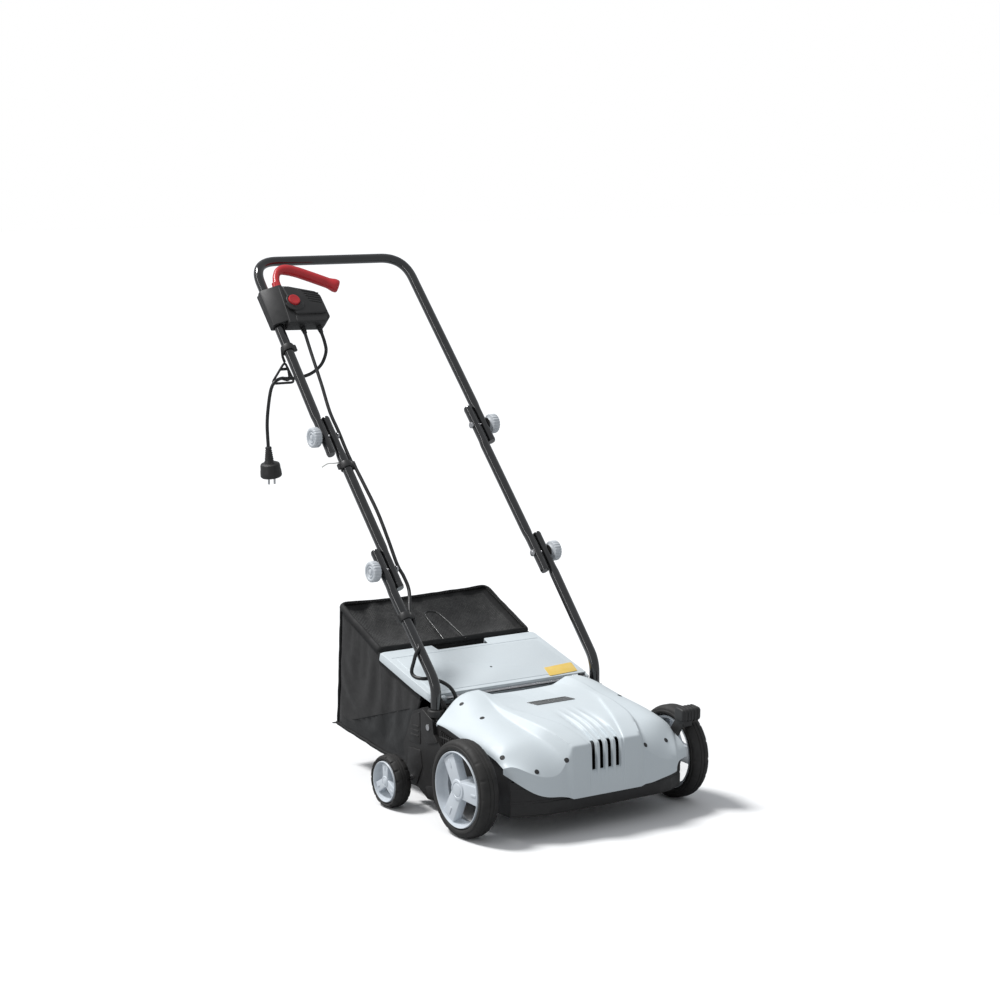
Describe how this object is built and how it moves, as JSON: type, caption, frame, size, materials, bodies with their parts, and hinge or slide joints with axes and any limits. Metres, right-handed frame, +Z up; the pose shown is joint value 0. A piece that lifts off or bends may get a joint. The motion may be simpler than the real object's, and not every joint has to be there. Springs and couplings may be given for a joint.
{
  "type": "lawn dethatcher",
  "caption": "Walk-behind electric lawn dethatcher: light grey deck on wheels, sprung-tine rotor, rear flap, mesh collection bag and folding tubular handle with a switch lever.",
  "frame": {"origin": "on the ground, under the middle of the machine's bounding box", "axes": "+X across the machine, towards its own left side, which is on the right when it is seen from the front; +Y from the front wheels to the handle, -Y the way the deck's nose points; +Z up"},
  "size_m": [0.528, 1.0142, 1.0119],
  "materials": {
    "grey_shell": "satin",
    "hub_grey": "satin",
    "knob_grey": "satin",
    "tyre_rubber": "matte",
    "belt_rubber": "matte",
    "housing_black": "textured",
    "box_black": "fine texture",
    "rotor_black": "matte",
    "tube_black": "gloss powder coat",
    "wire_black": "satin",
    "cable_black": "satin",
    "lever_red": "satin",
    "badge_grey": "satin",
    "bag_fabric": "woven mesh",
    "bright_steel": "zinc plated",
    "motor_metal": "cast"
  },
  "bodies": {
    "chassis": {"lower_housing": "housing_black", "top_cover": "grey_shell", "badge_plate": "badge_grey", "lower_handle_tube_left": "tube_black", "lower_handle_tube_right": "tube_black", "tube_screw_left": "bright_steel", "tube_screw_right": "bright_steel", "cable_clip_lower": "box_black", "motor_cable_lower": "cable_black", "motor_body": "motor_metal", "rotor_bearing_left": "bright_steel", "rotor_bearing_right": "bright_steel", "drive_belt": "belt_rubber", "belt_cover": "housing_black", "rear_axle": "bright_steel", "flap_rod": "bright_steel", "lower_bolt_left": "bright_steel", "lower_bolt_right": "bright_steel"},
    "depth_crank": {"front_crank_axle": "bright_steel", "depth_lever": "box_black"},
    "front_wheel_left": {"front_left_tyre": "tyre_rubber", "front_left_hub": "hub_grey"},
    "front_wheel_right": {"front_right_tyre": "tyre_rubber", "front_right_hub": "hub_grey"},
    "rear_wheel_left": {"rear_left_tyre": "tyre_rubber", "rear_left_hub": "hub_grey"},
    "rear_wheel_right": {"rear_right_tyre": "tyre_rubber", "rear_right_hub": "hub_grey"},
    "rotor": {"rotor_core": "rotor_black", "spring_tine_1": "bright_steel", "spring_tine_2": "bright_steel", "spring_tine_3": "bright_steel", "spring_tine_4": "bright_steel", "spring_tine_5": "bright_steel", "spring_tine_6": "bright_steel", "rotor_pulley": "rotor_black"},
    "motor_rotor": {"motor_shaft_pulley": "bright_steel"},
    "flap": {"rear_flap": "grey_shell"},
    "bag": {"bag_body": "bag_fabric", "bag_mouth_frame": "wire_black", "bag_carry_bail": "wire_black"},
    "middle_handle": {"middle_handle_tube_left": "tube_black", "middle_handle_tube_right": "tube_black", "cable_clip_upper": "box_black", "motor_cable_middle": "cable_black"},
    "upper_handle": {"upper_handle_bar": "tube_black", "switch_box_front": "box_black", "switch_box_back": "box_black", "cord_hook": "box_black", "supply_cord": "cable_black", "mains_plug": "box_black", "motor_cable_upper": "cable_black", "upper_bolt_left": "bright_steel", "upper_bolt_right": "bright_steel"},
    "bail_lever": {"bail_lever": "lever_red"},
    "start_button": {"start_button": "lever_red"},
    "lower_knob_left": {"lower_knob_left": "knob_grey"},
    "lower_knob_right": {"lower_knob_right": "knob_grey"},
    "upper_knob_left": {"upper_knob_left": "knob_grey"},
    "upper_knob_right": {"upper_knob_right": "knob_grey"}
  },
  "joints": [
    {"name": "depth_crank_turn", "type": "hinge", "parent": "chassis", "child": "depth_crank", "pos_m": [0, -0.41963, 0.075], "axis": [1, 0, 0], "range_deg": [-25, 20]},
    {"name": "front_wheel_left_spin", "type": "hinge", "parent": "depth_crank", "child": "front_wheel_left", "pos_m": [-0.239, -0.39463, 0.09], "axis": [1, 0, 0], "continuous": true},
    {"name": "front_wheel_right_spin", "type": "hinge", "parent": "depth_crank", "child": "front_wheel_right", "pos_m": [0.239, -0.39463, 0.09], "axis": [1, 0, 0], "continuous": true},
    {"name": "rear_wheel_left_spin", "type": "hinge", "parent": "chassis", "child": "rear_wheel_left", "pos_m": [-0.2475, -0.14963, 0.0507], "axis": [1, 0, 0], "continuous": true},
    {"name": "rear_wheel_right_spin", "type": "hinge", "parent": "chassis", "child": "rear_wheel_right", "pos_m": [0.2475, -0.14963, 0.0507], "axis": [1, 0, 0], "continuous": true},
    {"name": "rotor_spin", "type": "hinge", "parent": "chassis", "child": "rotor", "pos_m": [0, -0.27963, 0.09], "axis": [1, 0, 0], "continuous": true},
    {"name": "motor_spin", "type": "hinge", "parent": "chassis", "child": "motor_rotor", "pos_m": [0, -0.41463, 0.147], "axis": [1, 0, 0], "continuous": true},
    {"name": "flap_hinge", "type": "hinge", "parent": "chassis", "child": "flap", "pos_m": [0, -0.18963, 0.205], "axis": [1, 0, 0], "range_deg": [0, 34], "stiffness_Nm_per_rad": 0.05, "springref_deg": -28.65},
    {"name": "bag_lift_off", "type": "slide", "parent": "chassis", "child": "bag", "axis": [0, 1, 0], "range_m": [0, 0.1]},
    {"name": "lower_fold", "type": "hinge", "parent": "chassis", "child": "middle_handle", "pos_m": [0, -0.03063, 0.431], "axis": [1, 0, 0], "range_deg": [0, 125]},
    {"name": "upper_fold", "type": "hinge", "parent": "middle_handle", "child": "upper_handle", "pos_m": [0, 0.19237, 0.668], "axis": [1, 0, 0], "range_deg": [-115, 0]},
    {"name": "bail_lever_hinge", "type": "hinge", "parent": "upper_handle", "child": "bail_lever", "pos_m": [-0.15, 0.42234, 0.93468], "axis": [0, -0.7385, 0.6743], "range_deg": [0, 18], "stiffness_Nm_per_rad": 0.3, "springref_deg": -20.05},
    {"name": "start_button_push", "type": "slide", "parent": "upper_handle", "child": "start_button", "axis": [0, 0.7385, -0.6743], "range_m": [0, 0.004], "stiffness_N_per_m": 400, "springref_m": -0.002},
    {"name": "lower_knob_left_turn", "type": "hinge", "parent": "chassis", "child": "lower_knob_left", "pos_m": [-0.1992, -0.03063, 0.431], "axis": [1, 0, 0], "continuous": true},
    {"name": "lower_knob_right_turn", "type": "hinge", "parent": "chassis", "child": "lower_knob_right", "pos_m": [0.1992, -0.03063, 0.431], "axis": [1, 0, 0], "continuous": true},
    {"name": "upper_knob_left_turn", "type": "hinge", "parent": "upper_handle", "child": "upper_knob_left", "pos_m": [-0.1992, 0.19237, 0.668], "axis": [1, 0, 0], "continuous": true},
    {"name": "upper_knob_right_turn", "type": "hinge", "parent": "upper_handle", "child": "upper_knob_right", "pos_m": [0.1992, 0.19237, 0.668], "axis": [1, 0, 0], "continuous": true}
  ],
  "couplings": [
    {"joint": "motor_spin", "follows": "rotor_spin", "ratio": 3.5}
  ]
}
